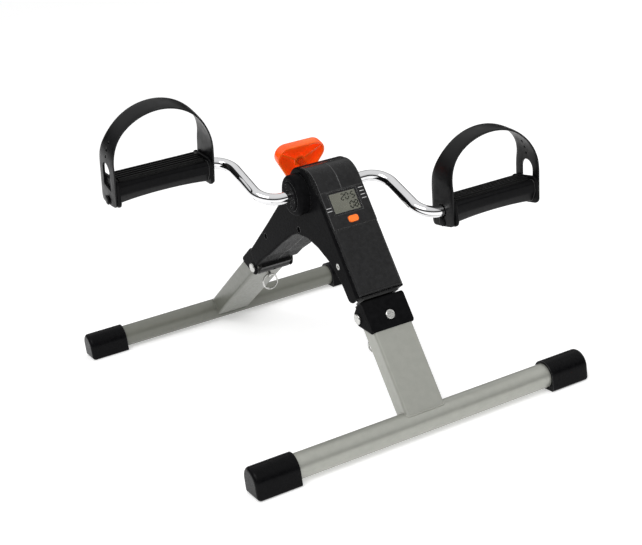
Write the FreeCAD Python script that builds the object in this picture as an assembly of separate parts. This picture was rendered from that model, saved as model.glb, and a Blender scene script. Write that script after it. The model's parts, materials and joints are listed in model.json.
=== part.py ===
import FreeCAD, Part
import math
import os

os.makedirs("parts", exist_ok=True)
V = FreeCAD.Vector
X_AXIS = V(1, 0, 0)
Y_AXIS = V(0, 1, 0)
Z_AXIS = V(0, 0, 1)

# Driving dimensions, mm. X runs left to right, -Y is the display side, the floor is Z = 0.
BAR_SPACING = 466.0
BAR_LENGTH = 371.0
BAR_RADIUS = 12.7
BAR_Z = 14.5
TUBE_WALL = 1.5
CAP_LENGTH = 46.0
CAP_WIDTH = 30.0
CAP_END_X = 191.0

LEG_WIDTH = 44.0
LEG_DEPTH = 22.0
PIN_OFFSET = 7.0
PIN_RADIUS = 4.0
LEGS = {"front": {"sign": -1, "tilt": 31.0, "drop": 115.0, "lock_x": -9.0, "fold": 85.0},
        "rear": {"sign": 1, "tilt": 57.0, "drop": 181.0, "lock_x": 0.0, "fold": 105.0}}
LEG_OUT = -PIN_OFFSET - LEG_DEPTH / 2
LEG_IN = -PIN_OFFSET + LEG_DEPTH / 2
EYE_HALF = 19.0
EYE_GAP = 1.3
SCREW_Z = -8.0
PLUNGER_Y = -2.5
TANG_Z = -19.6
NOSE_Z = -9.4
NOSE_STROKE = 3.0
TANG_Y = 8.0

AXLE_Y = -84.0
AXLE_Z = 225.0
ROD_RADIUS = 6.0
RUNNING = 0.05
INNER_BEND_X = 69.0
OUTER_BEND_X = 73.0
CRANK_RADIUS = 79.0
CRANK_ANGLE = 27.0
BEND_RADIUS = 22.0

PEDAL_IN = 97.0
PEDAL_OUT = 201.0
PEDAL_PITCH = {"left": 6.0, "right": -5.0}
STRAP_LEAN = 12.0
STRAP_TOP = {"left": 83.0, "right": 77.0}
STRAP_WIDTH = 38.0
STRAP_CROWN = 24.0
WINDOW_HALF = 9.5
WINDOW_TOP = 30.0
STRAP_SIDE = 30.0
STRAP_LOW = -20.0
STRAP_THICK = 2.4
STUD_DROP = 12.0

SHELL_HALF = 27.0
SHELL_WALL = 2.5
HUB_RADIUS = 27.0
FACE_U = -24.0
CASE_HALF = 24.5
BARREL_RADIUS = 29.0
BARREL_W = 136.0
SEAM_W = 126.5
LCD_W = (103.2, 123.6)
LCD_X = -1.5
LCD_HALF = 14.5
BUTTON_W = 94.3

KNOB_TILT = 66.0
KNOB_BASE = 49.0


def save(node, *solids):
    shape = solids[0] if len(solids) == 1 else Part.makeCompound(list(solids))
    shape.exportStep("parts/" + node + ".step")


def box(x0, x1, y0, y1, z0, z1):
    return Part.makeBox(x1 - x0, y1 - y0, z1 - z0, V(x0, y0, z0))


def rod_x(radius, x0, x1, y=0.0, z=0.0):
    return Part.makeCylinder(radius, x1 - x0, V(x0, y, z), X_AXIS)


def prism_x(points, x0, x1):
    wire = Part.makePolygon([V(x0, y, z) for y, z in points + points[:1]])
    return Part.Face(wire).extrude(V(x1 - x0, 0, 0))


def soften(shape, radius, pick):
    edges = [edge for edge in shape.Edges if pick(edge)]
    return shape.makeFillet(radius, edges)


def along(edge, axis):
    if not isinstance(edge.Curve, Part.Line):
        return False
    direction = edge.tangentAt(edge.FirstParameter)
    return abs(abs(direction.dot(axis)) - 1.0) < 1e-6


def mirror_x(shape):
    return shape.mirror(V(0, 0, 0), X_AXIS)


# Leg frame: origin on the fold pin, +Y into the arch, +Z up the leg.
def pin_centre(side):
    leg = LEGS[side]
    tilt = math.radians(leg["tilt"])
    inward = -leg["sign"] * (leg["drop"] * math.sin(tilt) + PIN_OFFSET * math.cos(tilt))
    y = leg["sign"] * BAR_SPACING / 2 + inward
    z = BAR_Z + leg["drop"] * math.cos(tilt) - PIN_OFFSET * math.sin(tilt)
    return V(0, y, z)


def seat(shape, side):
    leg = LEGS[side]
    placed = shape.copy() if side == "front" else shape.mirror(V(0, 0, 0), Y_AXIS)
    placed.rotate(V(0, 0, 0), X_AXIS, leg["sign"] * leg["tilt"])
    placed.translate(pin_centre(side))
    return placed


def arm_point(side, u, w):
    leg = LEGS[side]
    tilt = math.radians(leg["tilt"])
    pin = pin_centre(side)
    y = pin.y - leg["sign"] * (u * math.cos(tilt) + w * math.sin(tilt))
    z = pin.z - u * math.sin(tilt) + w * math.cos(tilt)
    return (y, z)


def front_pt(u, w):
    return arm_point("front", u, w)


def rear_pt(u, w):
    return arm_point("rear", u, w)


def leg_tube(side):
    drop = LEGS[side]["drop"]
    half = LEG_WIDTH / 2
    tube = box(-half, half, LEG_OUT, LEG_IN, -drop, 8.8)
    tube = soften(tube, 3.0, lambda edge: along(edge, Z_AXIS))
    core = box(-half + TUBE_WALL, half - TUBE_WALL, LEG_OUT + TUBE_WALL, LEG_IN - TUBE_WALL, -drop - 1, 9)
    core = soften(core, 1.6, lambda edge: along(edge, Z_AXIS))
    tube = tube.cut(core)
    lock = LEGS[side]["lock_x"]
    tube = tube.cut(box(-EYE_HALF - EYE_GAP, EYE_HALF + EYE_GAP, 0.0, 12.0, -14.5, 12.0))
    tube = tube.cut(box(lock - 2.1, lock + 2.1, 0.0, 12.0, -23.4, -14.0))
    tube = tube.cut(rod_x(PIN_RADIUS + RUNNING, -30, 30))
    tube = tube.cut(Part.makeCylinder(2.1, 12, V(0, LEG_OUT - 4, SCREW_Z), Y_AXIS))
    bar = rod_x(BAR_RADIUS + 0.02, -60, 60, -PIN_OFFSET, -drop)
    return tube.cut(bar)


def knuckle():
    half = LEG_WIDTH / 2 + 2.0
    round_end = 9.0
    outer = prism_x([(-20.5, 12), (-20.5, -21), (-14, -21), (5.4, -7.2), (5.4, 7.6), (-6, 12)], -half, half)
    outer = outer.fuse(rod_x(round_end, -half, half)).removeSplitter()
    outer = soften(outer, 3.5, lambda edge: along(edge, X_AXIS) and edge.BoundBox.YMax < -19)
    outer = soften(outer, 1.7, lambda edge: abs(abs(edge.BoundBox.XMin) - half) < 1e-3
                   and edge.BoundBox.XLength < 1e-3)
    fit = 0.1
    outer = outer.cut(box(-half + 2 - fit, half - 2 + fit, LEG_OUT - fit, 12, -24, 9))
    outer = outer.cut(box(-EYE_HALF - EYE_GAP, EYE_HALF + EYE_GAP, -9.6, 12, 5, 14))
    outer = outer.cut(rod_x(PIN_RADIUS + RUNNING, -30, 30))
    return outer.cut(Part.makeCylinder(2.1, 8, V(0, -24, SCREW_Z), Y_AXIS))


def knuckle_screw():
    head = Part.makeCylinder(5.0, 2.4, V(0, -22.9, SCREW_Z), Y_AXIS)
    head = soften(head, 1.4, lambda edge: edge.BoundBox.YMax < -22.8)
    shank = Part.makeCylinder(2.0, 8.0, V(0, -20.6, SCREW_Z), Y_AXIS)
    drive = box(-0.5, 0.5, -24, -22.0, SCREW_Z - 3, SCREW_Z + 3)
    drive = drive.fuse(box(-3.0, 3.0, -24, -22.0, SCREW_Z - 0.5, SCREW_Z + 0.5))
    return head.fuse(shank).cut(drive)


def fold_pin():
    cheek = LEG_WIDTH / 2 + 2.0
    shaft = rod_x(PIN_RADIUS, -cheek - 0.3, cheek + 0.3)
    head = rod_x(5.6, cheek + 0.15, cheek + 2.2)
    head = soften(head, 1.2, lambda edge: edge.BoundBox.XMin > cheek + 2)
    return shaft.fuse(head).fuse(mirror_x(head))


def lock_bore(side, low, high):
    return Part.makeCylinder(2.55, high - low, V(LEGS[side]["lock_x"], PLUNGER_Y, low))


def lock_guide(side):
    lock = LEGS[side]["lock_x"]
    upper = box(lock - 6, lock + 6, -9, 2.4, -13.5, -10.2)
    lower = box(lock - 6, lock + 6, -9, 2.4, -42.5, -39.0)
    back = box(lock - 6, lock + 6, -11, -9, -42.5, -10.2)
    return upper.fuse(lower).fuse(back).cut(lock_bore(side, -45, -8))


def lock_plunger(side):
    lock = LEGS[side]["lock_x"]
    shaft = Part.makeCylinder(2.5, 37.4, V(lock, PLUNGER_Y, NOSE_Z - 37.4))
    shaft = soften(shaft, 0.8, lambda edge: edge.BoundBox.ZMin > NOSE_Z - 0.5)
    shaft = shaft.fuse(Part.makeCylinder(4.3, 1.6, V(lock, PLUNGER_Y, -32.0)))
    tang = box(lock - 1.5, lock + 1.5, PLUNGER_Y, TANG_Y + 3, TANG_Z - 3, TANG_Z + 3)
    tang = soften(tang, 2.0, lambda edge: along(edge, X_AXIS) and edge.BoundBox.YMin > TANG_Y)
    return shaft.fuse(tang).cut(rod_x(1.7, lock - 4, lock + 4, TANG_Y, TANG_Z))


def lock_spring(side):
    lock = LEGS[side]["lock_x"]
    return [Part.makeTorus(3.5, 0.55, V(lock, PLUNGER_Y, -38.4 + 1.16 * turn)) for turn in range(6)]


def pull_ring(side):
    tang = seat(Part.Vertex(V(LEGS[side]["lock_x"], TANG_Y, TANG_Z)), side).Point
    return Part.makeTorus(9.0, 1.0, V(tang.x, tang.y, tang.z - 9.0), Y_AXIS)


def end_cap(y):
    half = CAP_WIDTH / 2
    start = CAP_END_X - CAP_LENGTH
    upper = rod_x(half, start, CAP_END_X, 0, CAP_WIDTH - half)
    foot = box(start, CAP_END_X, -half, half, 0, CAP_WIDTH - half)
    cap = upper.fuse(foot).removeSplitter()
    cap = soften(cap, 3.0, lambda edge: along(edge, X_AXIS) and edge.BoundBox.ZMax < 1)
    cap = soften(cap, 4.0, lambda edge: edge.BoundBox.XMin > CAP_END_X - 0.5)
    cap = cap.cut(rod_x(BAR_RADIUS + 0.05, start - 1, CAP_END_X - 4.9, 0, BAR_Z))
    cap.translate(V(0, y, 0))
    return cap


def floor_bar(y):
    half = BAR_LENGTH / 2
    tube = rod_x(BAR_RADIUS, -half, half, y, BAR_Z)
    return tube.cut(rod_x(BAR_RADIUS - TUBE_WALL, -half - 1, half + 1, y, BAR_Z))


for side in LEGS:
    bar_y = LEGS[side]["sign"] * BAR_SPACING / 2
    save(side + "_leg_tube", seat(leg_tube(side), side))
    save(side + "_knuckle", seat(knuckle(), side))
    save(side + "_knuckle_screw", seat(knuckle_screw(), side))
    save(side + "_fold_pin", seat(fold_pin(), side))
    save(side + "_lock_guide", seat(lock_guide(side), side))
    save(side + "_lock_plunger", seat(lock_plunger(side), side))
    save(side + "_lock_spring", *[seat(coil, side) for coil in lock_spring(side)])
    save(side + "_pull_ring", pull_ring(side))
    save(side + "_floor_bar", floor_bar(bar_y))
    cap = end_cap(bar_y)
    save(side + "_cap_right", cap)
    save(side + "_cap_left", mirror_x(cap))


# Housing: two half shells on a steel arm frame, display case on top of the front arm.
AXLE = V(0, AXLE_Y, AXLE_Z)


def shell_outline(inset, x):
    radius = HUB_RADIUS - inset
    hub = [V(x, AXLE_Y + radius * math.cos(math.radians(a)), AXLE_Z + radius * math.sin(math.radians(a)))
           for a in (35, 95, 160)]
    top = inset * 1.2
    left = [front_pt(-20 + inset, 118), front_pt(-20 + inset, 15.5 - 3 * inset)]
    left += [front_pt(0.5 - inset, 15.5 - 3 * inset), front_pt(1.5 - inset, 40)]
    left += [front_pt(9 - inset, 64), front_pt(22 - inset, 84)]
    arch = [(-84, 176.5 + inset), (-60, 176.5 + inset), (-44, 171 + inset), (-15, 156 + inset)]
    right = [rear_pt(7 - inset, 62), rear_pt(4.5 - inset, 40)]
    right += [rear_pt(4 - inset, 15.5 - 3 * inset), rear_pt(-16.5 + inset, 15.5 - 3 * inset)]
    right += [rear_pt(-21 + inset, 90), (-45, 218.3 - top)]
    points = [V(x, y, z) for y, z in left + arch + right]
    edges = [Part.Arc(hub[0], hub[1], hub[2]).toShape(), Part.makeLine(hub[2], points[0])]
    for start, end in zip(points, points[1:]):
        edges.append(Part.makeLine(start, end))
    edges.append(Part.makeLine(points[-1], hub[0]))
    return Part.Face(Part.Wire(edges))


BARREL = front_pt(FACE_U + BARREL_RADIUS, BARREL_W)


def case_block(inset):
    half = CASE_HALF - inset
    face = FACE_U + inset
    low = 87.0 + inset
    radius = BARREL_RADIUS - inset
    seam = BARREL_W + 0.2
    front = [front_pt(face, low), front_pt(face, seam), front_pt(-11, seam), front_pt(-11, low)]
    block = prism_x(front, -half, half)
    barrel = rod_x(radius, -half, half, BARREL[0], BARREL[1])
    upper = [front_pt(-60, BARREL_W), front_pt(-60, 200), front_pt(60, 200), front_pt(60, BARREL_W)]
    barrel = barrel.common(prism_x(upper, -half, half))
    barrel = barrel.cut(box(-40, 40, -68 - min(inset, 0), 40, 150, 300))
    return block.fuse(barrel).removeSplitter()


# Shell screws: position on the side and depth of the head below it.
SCREWS = [(*front_pt(-6.1, 55), 0.0), (-66.6, 182.8, 5.0), (20.5, 157.5, 5.0)]
KNOB_DIR = V(0, math.sin(math.radians(KNOB_TILT)), math.cos(math.radians(KNOB_TILT)))


def knob_point(distance):
    return AXLE + KNOB_DIR * distance


def knob_cyl(radius, start, end):
    return Part.makeCylinder(radius, end - start, knob_point(start), KNOB_DIR)


def half_shell(sign):
    outer = shell_outline(0, 0).extrude(V(SHELL_HALF, 0, 0))
    corners = (front_pt(0.5, 15.5), rear_pt(4, 15.5), rear_pt(-16.5, 15.5))
    for (y, z), radius in zip(corners, (7.0, 4.0, 3.0)):
        outer = soften(outer, radius, lambda edge: along(edge, X_AXIS)
                       and (edge.Vertexes[0].Point - V(0, y, z)).cross(X_AXIS).Length < 0.01)
    outer = soften(outer, 2.2, lambda edge: edge.BoundBox.XMin > SHELL_HALF - 1e-3)
    inner = shell_outline(SHELL_WALL, -1).extrude(V(SHELL_HALF - SHELL_WALL + 1, 0, 0))
    shell = outer.cut(inner)
    for y, z, sink in SCREWS:
        post = rod_x(4.8, 0, SHELL_HALF - 1.0, y, z)
        shell = shell.fuse(post)
    shell = shell.removeSplitter()
    shell = shell.cut(case_block(-0.1))
    shell = shell.cut(rod_x(14.0, 0, 40, AXLE_Y, AXLE_Z))
    shell = shell.cut(knob_cyl(9.4, 5, 24.7)).cut(knob_cyl(5.2, 15, 60))
    for y, z, sink in SCREWS:
        shell = shell.cut(rod_x(1.6, -1, 40, y, z))
        if sign < 0:
            shell = shell.cut(rod_x(3.4, SHELL_HALF - 2.2 - sink, 40, y, z))
    return shell if sign > 0 else mirror_x(shell)


save("left_shell", half_shell(-1))
save("right_shell", half_shell(1))


def shell_screw(y, z, sink):
    top = sink - SHELL_HALF
    head = rod_x(3.2, top, top + 2.1, y, z)
    drive = box(top - 1, top + 0.9, y - 0.5, y + 0.5, z - 2.0, z + 2.0)
    drive = drive.fuse(box(top - 1, top + 0.9, y - 2.0, y + 2.0, z - 0.5, z + 0.5))
    return head.fuse(rod_x(1.5, top + 1, 20, y, z)).cut(drive)


save("shell_screws", *[shell_screw(*screw) for screw in SCREWS])


def arm_frame():
    front = [front_pt(-16, 15), front_pt(-16, 72), front_pt(-9.5, 86), front_pt(-1, 118), (-84, 238)]
    front += [(-74, 234), (-84, 192)]
    front += [front_pt(12, 80), front_pt(-3.5, 45), front_pt(-3.5, 15)]
    rear = [rear_pt(-12.5, 15), rear_pt(-16, 90), (-62, 226), (-84, 238), (-90, 210), (-78, 192)]
    rear += [(-40, 178), rear_pt(3, 62), rear_pt(0.5, 15)]
    plate = prism_x(front, 17.6, 20).fuse(prism_x(rear, 17.6, 20)).removeSplitter()
    frame = plate.fuse(mirror_x(plate))
    spine = prism_x([front_pt(-16, 15), front_pt(-16, 71), front_pt(-13.6, 71), front_pt(-13.6, 15)], -18, 18)
    ridge = prism_x([rear_pt(-12.5, 15), rear_pt(-15, 80), rear_pt(-12.6, 80), rear_pt(-10.1, 15)], -18, 18)
    frame = frame.fuse(spine).fuse(ridge)
    for side in LEGS:
        plate = box(-20, 20, -19.5 if side == "front" else -16, 0.3, 13.2, 15.2)
        eye = box(-EYE_HALF, EYE_HALF, -7, 7, 0, 13.5).fuse(rod_x(9.0, -EYE_HALF, EYE_HALF))
        eye = eye.cut(rod_x(PIN_RADIUS + RUNNING, -30, 30))
        socket = lock_bore(side, -14, NOSE_Z + NOSE_STROKE + 0.6)
        eye = eye.cut(socket)
        socket.rotate(V(0, 0, 0), X_AXIS, LEGS[side]["fold"])
        eye = eye.cut(socket)
        frame = frame.fuse(seat(plate.fuse(eye), side))
    frame = frame.fuse(rod_x(13.0, -26.5, 26.5, AXLE_Y, AXLE_Z)).fuse(knob_cyl(9.0, 9, 24.5))
    for y, z, sink in SCREWS:
        frame = frame.cut(rod_x(5.2, -30, 30, y, z))
    frame = frame.cut(rod_x(10.0, -30, 30, AXLE_Y, AXLE_Z))
    return frame.cut(knob_cyl(6.5, 0, 30))


save("arm_frame", arm_frame())


def leg_depth(edge):
    pin = pin_centre("front")
    tilt = math.radians(LEGS["front"]["tilt"])
    rise = [vertex.Point - pin for vertex in edge.Vertexes]
    return max(step.y * math.cos(tilt) - step.z * math.sin(tilt) for step in rise)


def leg_height(edge):
    pin = pin_centre("front")
    tilt = math.radians(LEGS["front"]["tilt"])
    rise = [vertex.Point - pin for vertex in edge.Vertexes]
    return min(step.y * math.sin(tilt) + step.z * math.cos(tilt) for step in rise)


def front_cover():
    points = [front_pt(FACE_U + 0.5, 17), front_pt(FACE_U + 0.5, 86.6), front_pt(-20.1, 86.6), front_pt(-20.1, 17)]
    cover = prism_x(points, -CASE_HALF, CASE_HALF)
    return soften(cover, 2.6, lambda edge: leg_depth(edge) < FACE_U + 0.6 and leg_height(edge) < 86)


save("front_cover", front_cover())


def on_front(x0, x1, u0, u1, w0, w1):
    return seat(box(x0, x1, u0, u1, w0, w1), "front")


def lcd_plate(grow, u0, u1):
    left = LCD_X - LCD_HALF - grow
    right = LCD_X + LCD_HALF + grow
    return on_front(left, right, u0, u1, LCD_W[0] - grow, LCD_W[1] + grow)


def button_block(grow, u0, u1):
    half_x = 5.5 + grow
    half_w = 3.3 + grow
    block = box(-half_x, half_x, u0, u1, BUTTON_W - half_w, BUTTON_W + half_w)
    block = soften(block, 2.5, lambda edge: along(edge, Y_AXIS))
    return block


def display_case():
    case = case_block(0)
    case = case.cut(case_block(SHELL_WALL))
    case = case.cut(on_front(-22, 22, -12.2, 0, 89.5, BARREL_W))
    case = case.cut(lcd_plate(0, -30, -15))
    case = case.cut(lcd_plate(2.0, -30, FACE_U + 1.0))
    case = case.cut(seat(button_block(0.3, -30, -15), "front"))
    case = case.cut(on_front(-CASE_HALF - 1, CASE_HALF + 1, FACE_U - 1, FACE_U + 0.5, SEAM_W, SEAM_W + 0.5))
    parting = prism_x([front_pt(-60, SEAM_W), front_pt(-60, 200), front_pt(60, 200), front_pt(60, SEAM_W)], -0.25, 0.25)
    parting = parting.cut(rod_x(BARREL_RADIUS - 0.5, -1, 1, BARREL[0], BARREL[1]))
    parting = parting.cut(on_front(-1, 1, FACE_U + 0.5, 60, SEAM_W - 1, BARREL_W + 0.1))
    case = case.cut(parting).cut(knob_cyl(11.0, 8, 40))
    case = case.cut(box(-22, 22, -76, -60, 190, 222))
    return case.cut(rod_x(14.0, -40, 40, AXLE_Y, AXLE_Z))


save("display_case", display_case())
save("lcd_lens", lcd_plate(1.95, FACE_U, FACE_U + 0.95))
save("lcd_panel", lcd_plate(-0.05, FACE_U + 1.05, -21.0))
button = button_block(0, FACE_U - 1.2, -19.6)
button = soften(button, 0.6, lambda edge: edge.BoundBox.YMax < FACE_U - 1.1)
button = button.fuse(box(-7, 7, -21.3, -19.6, BUTTON_W - 4.6, BUTTON_W + 4.6))
save("mode_button", seat(button, "front"))
board = on_front(-19, 19, -17.2, -15.8, 90.5, 132)
save("circuit_board", board)
cell = Part.makeCylinder(5.8, 3.2, V(-8, -15.7, 112), Y_AXIS)
save("button_cell", seat(cell, "front"))
sensor = Part.makeCylinder(1.3, 12, V(6, -14.2, 122), X_AXIS)
save("reed_sensor", seat(sensor, "front"))


def bush(sign):
    sleeve = rod_x(9.95, 13, 27).fuse(rod_x(12.2, 26.6, 29.2))
    sleeve = sleeve.cut(rod_x(ROD_RADIUS + RUNNING, 0, 50))
    sleeve.translate(AXLE)
    return sleeve if sign > 0 else mirror_x(sleeve)


def left_hub_cap():
    cap = rod_x(21.5, 27.1, 39)
    cap = soften(cap, 4.0, lambda edge: edge.BoundBox.XMin > 38.5)
    step = rod_x(15.5, 38.9, 41)
    step = soften(step, 1.0, lambda edge: edge.BoundBox.XMin > 40.5)
    cap = cap.fuse(step)
    cap = cap.cut(rod_x(12.4, 20, 34.2)).cut(rod_x(6.6, 20, 45))
    for index in range(6):
        angle = math.radians(60 * index + 15)
        cap = cap.cut(rod_x(1.6, 39.2, 45, 11 * math.cos(angle), 11 * math.sin(angle)))
    cap.translate(AXLE)
    return mirror_x(cap)


def right_hub_cap():
    cap = rod_x(16.0, 27.1, 31.5)
    cap = soften(cap, 2.0, lambda edge: edge.BoundBox.XMin > 31)
    cap = cap.cut(rod_x(12.4, 20, 29.3)).cut(rod_x(6.6, 20, 45))
    cap.translate(AXLE)
    return cap


save("left_bush", bush(-1))
save("right_bush", bush(1))
save("left_hub_cap", left_hub_cap())
save("right_hub_cap", right_hub_cap())

insert = knob_cyl(6.45, 20.6, 24.5).cut(knob_cyl(4.05, 15, 30))
save("threaded_insert", insert)


# Crank: one bent rod, with a friction drum and a magnet in the hub.
def crank_points():
    angle = math.radians(CRANK_ANGLE)
    dy = CRANK_RADIUS * math.cos(angle)
    dz = CRANK_RADIUS * math.sin(angle)
    end = PEDAL_OUT - 0.5
    return [V(-end, AXLE_Y + dy, AXLE_Z + dz), V(-OUTER_BEND_X, AXLE_Y + dy, AXLE_Z + dz),
            V(-INNER_BEND_X, AXLE_Y, AXLE_Z), V(INNER_BEND_X, AXLE_Y, AXLE_Z),
            V(OUTER_BEND_X, AXLE_Y - dy, AXLE_Z - dz), V(end, AXLE_Y - dy, AXLE_Z - dz)]


def bent_rod(points, bend, radius):
    edges = []
    start = points[0]
    for before, corner, after in zip(points, points[1:], points[2:]):
        into = (corner - before).normalize()
        out = (after - corner).normalize()
        turn = math.acos(into.dot(out))
        setback = bend * math.tan(turn / 2)
        first = corner - into * setback
        last = corner + out * setback
        bisector = (out - into).normalize()
        middle = corner + bisector * (bend / math.cos(turn / 2) - bend)
        edges.append(Part.makeLine(start, first))
        edges.append(Part.Arc(first, middle, last).toShape())
        start = last
    edges.append(Part.makeLine(start, points[-1]))
    pipe = None
    for edge in edges:
        direction = edge.tangentAt(edge.FirstParameter)
        begin = edge.valueAt(edge.FirstParameter)
        section = Part.Wire(Part.makeCircle(radius, begin, direction))
        piece = Part.Wire([edge]).makePipeShell([section], True, False)
        pipe = piece if pipe is None else pipe.fuse(piece)
    return pipe.removeSplitter()


save("crank_rod", bent_rod(crank_points(), BEND_RADIUS, ROD_RADIUS))
magnet = rod_x(1.3, -4, 4, AXLE_Y - 7.5, AXLE_Z)
drum = rod_x(9.0, -10, 10, AXLE_Y, AXLE_Z).cut(rod_x(ROD_RADIUS, -12, 12, AXLE_Y, AXLE_Z))
save("friction_drum", drum.cut(magnet))
save("speed_magnet", magnet)


def axle_clip(sign):
    ring = rod_x(9.0, 10.4, 12.2).cut(rod_x(ROD_RADIUS, 0, 20))
    ring.translate(AXLE)
    return ring if sign > 0 else mirror_x(ring)


save("axle_clips", axle_clip(-1), axle_clip(1))


# Pedals: solid core on the crank end, ribbed tread, foot strap on two studs.
def pedal_core():
    section = [(-19, 5), (-16, 9), (16, 9), (19, 5), (18, -6), (11, -14), (-11, -14), (-18, -6)]
    core = prism_x(section, PEDAL_IN + 3, PEDAL_OUT - 3)
    middle = (PEDAL_IN + PEDAL_OUT) / 2
    hollow = Part.makeCylinder(560, 80, V(middle, -40, -14 - 560 + 2.2), Y_AXIS)
    core = core.cut(hollow)
    plate = box(0, 3, -21, 21, -17, 13)
    plate = soften(plate, 7.0, lambda edge: along(edge, X_AXIS))
    inner = plate.copy()
    inner.translate(V(PEDAL_IN, 0, 0))
    outer = plate.copy()
    outer.translate(V(PEDAL_OUT - 3, 0, 0))
    core = core.fuse(inner).fuse(outer).removeSplitter()
    core = core.cut(rod_x(ROD_RADIUS + RUNNING, 0, PEDAL_OUT - 0.2))
    core = core.cut(rod_x(4.0, 0, PEDAL_OUT + 1))
    core = core.cut(rod_x(8.1, PEDAL_OUT - 8.4, PEDAL_OUT - 6.4))
    lean = math.radians(STRAP_LEAN)
    stud_y = STUD_DROP * math.sin(lean)
    stud_z = -STUD_DROP * math.cos(lean)
    for x0, x1, x2 in ((PEDAL_OUT, PEDAL_OUT + 3.2, PEDAL_OUT + 5), (PEDAL_IN, PEDAL_IN - 2.9, PEDAL_IN - 4.2)):
        stud = rod_x(3.0, min(x0, x1), max(x0, x1), stud_y, stud_z)
        head = rod_x(5.0, min(x1, x2), max(x1, x2), stud_y, stud_z)
        core = core.fuse(stud).fuse(head)
    return core


def pedal_clip():
    return rod_x(7.8, PEDAL_OUT - 8.0, PEDAL_OUT - 6.8).cut(rod_x(ROD_RADIUS, 0, PEDAL_OUT))


def pedal_tread():
    pad = box(PEDAL_IN + 4, PEDAL_OUT - 4, -15.5, 15.5, 9.05, 11.2)
    for index in range(5):
        y = -12.4 + 6.2 * index
        rib = box(PEDAL_IN + 5, PEDAL_OUT - 5, y - 1.3, y + 1.3, 11.0, 12.6)
        pad = pad.fuse(rib)
    return pad.removeSplitter()


def strap_wire(height, grow):
    half = (PEDAL_OUT - PEDAL_IN) / 2 + 0.2 + grow
    middle = (PEDAL_IN + PEDAL_OUT) / 2
    rise = height - STRAP_THICK + grow - STRAP_SIDE
    left = V(middle - half, 0, STRAP_SIDE)
    right = V(middle + half, 0, STRAP_SIDE)
    crown = V(middle, 0, STRAP_SIDE + rise)
    hoop = Part.ArcOfEllipse(Part.Ellipse(right, crown, V(middle, 0, STRAP_SIDE)), 0, math.pi)
    return [V(middle - half, 0, STRAP_LOW), left, hoop.toShape(), right, V(middle + half, 0, STRAP_LOW)]


def foot_strap(height):
    outer = strap_wire(height, STRAP_THICK)
    inner = strap_wire(height, 0)
    edges = [Part.makeLine(outer[0], outer[1]), outer[2], Part.makeLine(outer[3], outer[4])]
    edges += [Part.makeLine(outer[4], inner[4]), Part.makeLine(inner[4], inner[3]), inner[2]]
    edges += [Part.makeLine(inner[1], inner[0]), Part.makeLine(inner[0], outer[0])]
    face = Part.Face(Part.Wire(Part.__sortEdges__(edges)))
    half = STRAP_WIDTH / 2
    face.translate(V(0, -half, 0))
    strap = face.extrude(V(0, STRAP_WIDTH, 0))
    crown = STRAP_CROWN / 2
    taper = [(-half, -7), (-half + 3.5, -11.7), (half - 3.5, -18.3), (half, -14.5), (half, 22)]
    taper += [(crown + 1, 62), (crown, 100)]
    taper += [(-crown, 100), (-crown - 1, 62), (-half, 22)]
    strap = strap.common(prism_x(taper, PEDAL_IN - 20, PEDAL_OUT + 20))
    shoulder = WINDOW_TOP - WINDOW_HALF
    window = rod_x(WINDOW_HALF, PEDAL_OUT - 4, PEDAL_OUT + 8, 0, shoulder)
    window = window.fuse(box(PEDAL_OUT - 4, PEDAL_OUT + 8, -WINDOW_HALF, WINDOW_HALF, 2, shoulder))
    strap = strap.cut(window)
    for z in (37, 44, 51):
        strap = strap.cut(rod_x(1.6, PEDAL_OUT - 16, PEDAL_OUT + 8, 0, z))
    strap = strap.cut(rod_x(3.2, PEDAL_OUT - 4, PEDAL_OUT + 8, 0, -STUD_DROP))
    strap = strap.cut(rod_x(3.2, PEDAL_IN - 8, PEDAL_IN + 4, 0, -STUD_DROP))
    return strap.cut(rod_x(ROD_RADIUS + 1.5, PEDAL_IN - 8, PEDAL_IN + 4))


def pedal_place(shape, name, lean=0.0):
    points = crank_points()
    centre = points[0] if name == "left" else points[-1]
    placed = mirror_x(shape) if name == "left" else shape.copy()
    placed.rotate(V(0, 0, 0), X_AXIS, PEDAL_PITCH[name] + lean)
    placed.translate(V(0, centre.y, centre.z))
    return placed


for name in ("left", "right"):
    save(name + "_pedal_core", pedal_place(pedal_core(), name))
    save(name + "_pedal_tread", pedal_place(pedal_tread(), name))
    save(name + "_foot_strap", pedal_place(foot_strap(STRAP_TOP[name]), name, STRAP_LEAN))


save("pedal_clips", pedal_place(pedal_clip(), "left"), pedal_place(pedal_clip(), "right"))


# Tension screw: knob and bolt turn on a sliding brake shoe.
shoe = knob_cyl(6.4, 14.0, 17.4)
save("brake_shoe", shoe)
pad = knob_cyl(6.4, 10.2, 14.0).cut(rod_x(11.7, -20, 20, AXLE_Y, AXLE_Z))
save("brake_pad", pad)
bolt = knob_cyl(4.0, 17.45, KNOB_BASE + 3.5)
save("tension_bolt", bolt)


def knob_blank(radius, lobe, low, high):
    centres = []
    for index in range(3):
        angle = math.radians(120 * index + 90)
        centres.append(V(radius * math.cos(angle), radius * math.sin(angle), low))
    corners = []
    for first, second in ((0, 1), (1, 2), (2, 0)):
        side = (centres[second] - centres[first]).normalize()
        normal = V(side.y, -side.x, 0) * lobe
        corners += [centres[first] + normal, centres[second] + normal]
    body = Part.Face(Part.makePolygon(corners + corners[:1])).extrude(V(0, 0, high - low))
    for centre in centres:
        body = body.fuse(Part.makeCylinder(lobe, high - low, centre))
    return body.removeSplitter()


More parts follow.
